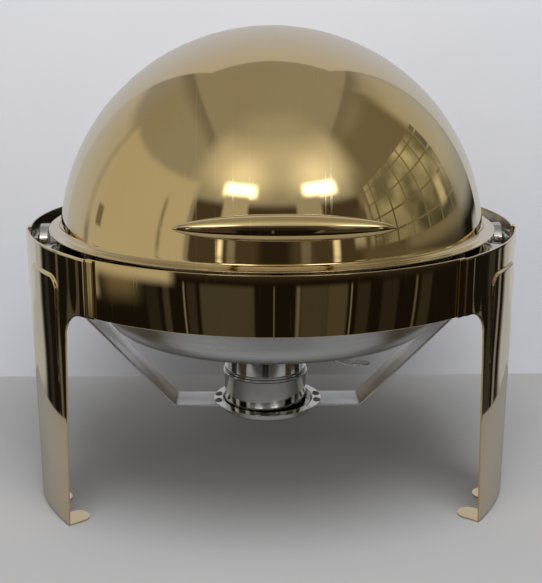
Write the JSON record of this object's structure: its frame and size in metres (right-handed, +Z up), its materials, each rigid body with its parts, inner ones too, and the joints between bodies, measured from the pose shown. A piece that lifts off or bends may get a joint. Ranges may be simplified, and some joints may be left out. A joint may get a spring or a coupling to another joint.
{
  "type": "chafing dish food warmer",
  "caption": "Round roll-top chafing dish: domed cover hinged at its sides on a three-legged ring stand, nested food and water pans, and a strap-hung fuel cup with a swing damper",
  "frame": {"origin": "on the table, under the centre of the ring stand", "axes": "+Z up, -Y the front where the handle is, +X to the right seen from the front"},
  "size_m": [0.455, 0.4629, 0.4315],
  "materials": {
    "gold": "mirror-polished stainless steel with a champagne gold coating",
    "steel": "polished stainless steel",
    "brushed_steel": "satin brushed stainless steel",
    "rubber": "matt black rubber",
    "nylon": "natural nylon"
  },
  "bodies": {
    "stand": {"front_band": "gold", "rear_band_left": "gold", "rear_band_right": "gold", "leg_front_left": "gold", "leg_front_right": "gold", "leg_rear": "gold", "pan_shelf": "steel", "rest_pad_1": "rubber", "rest_pad_2": "rubber", "rest_pad_3": "rubber", "pivot_bracket_left": "steel", "pivot_bracket_right": "steel", "stop_pin_left": "steel", "stop_pin_right": "steel", "pivot_bolt_left": "steel", "pivot_bolt_right": "steel", "pivot_spacer_left": "nylon", "pivot_spacer_right": "nylon", "pivot_washer_left": "steel", "pivot_washer_right": "steel", "burner_arm_left": "brushed_steel", "burner_arm_right": "brushed_steel", "arm_bolt_left": "steel", "arm_bolt_right": "steel", "burner_tray": "steel", "tray_rivet_1": "steel", "tray_rivet_2": "steel", "tray_rivet_3": "steel", "tray_rivet_4": "steel", "water_pan": "brushed_steel", "food_pan": "steel"},
    "cover": {"cover_shell": "gold", "cover_handle": "gold", "handle_post_left": "gold", "handle_post_right": "gold", "handle_screw_left": "steel", "handle_screw_right": "steel", "pivot_ear_left": "steel", "pivot_ear_right": "steel"},
    "fuel_holder": {"fuel_cup": "steel", "fuel_collar": "steel", "damper_rivet": "steel"},
    "damper": {"damper_plate": "steel", "damper_grip": "steel"}
  },
  "joints": [
    {"name": "cover_roll", "type": "hinge", "parent": "stand", "child": "cover", "pos_m": [0, 0, 0.2315], "axis": [-1, 0, 0], "range_deg": [0, 90]},
    {"name": "fuel_lift", "type": "slide", "parent": "stand", "child": "fuel_holder", "axis": [0, 0, 1], "range_m": [0, 0.012]},
    {"name": "damper_swing", "type": "hinge", "parent": "fuel_holder", "child": "damper", "pos_m": [0.02301, -0.02009, 0.122], "axis": [0, 0, 1], "range_deg": [0, 85]}
  ]
}
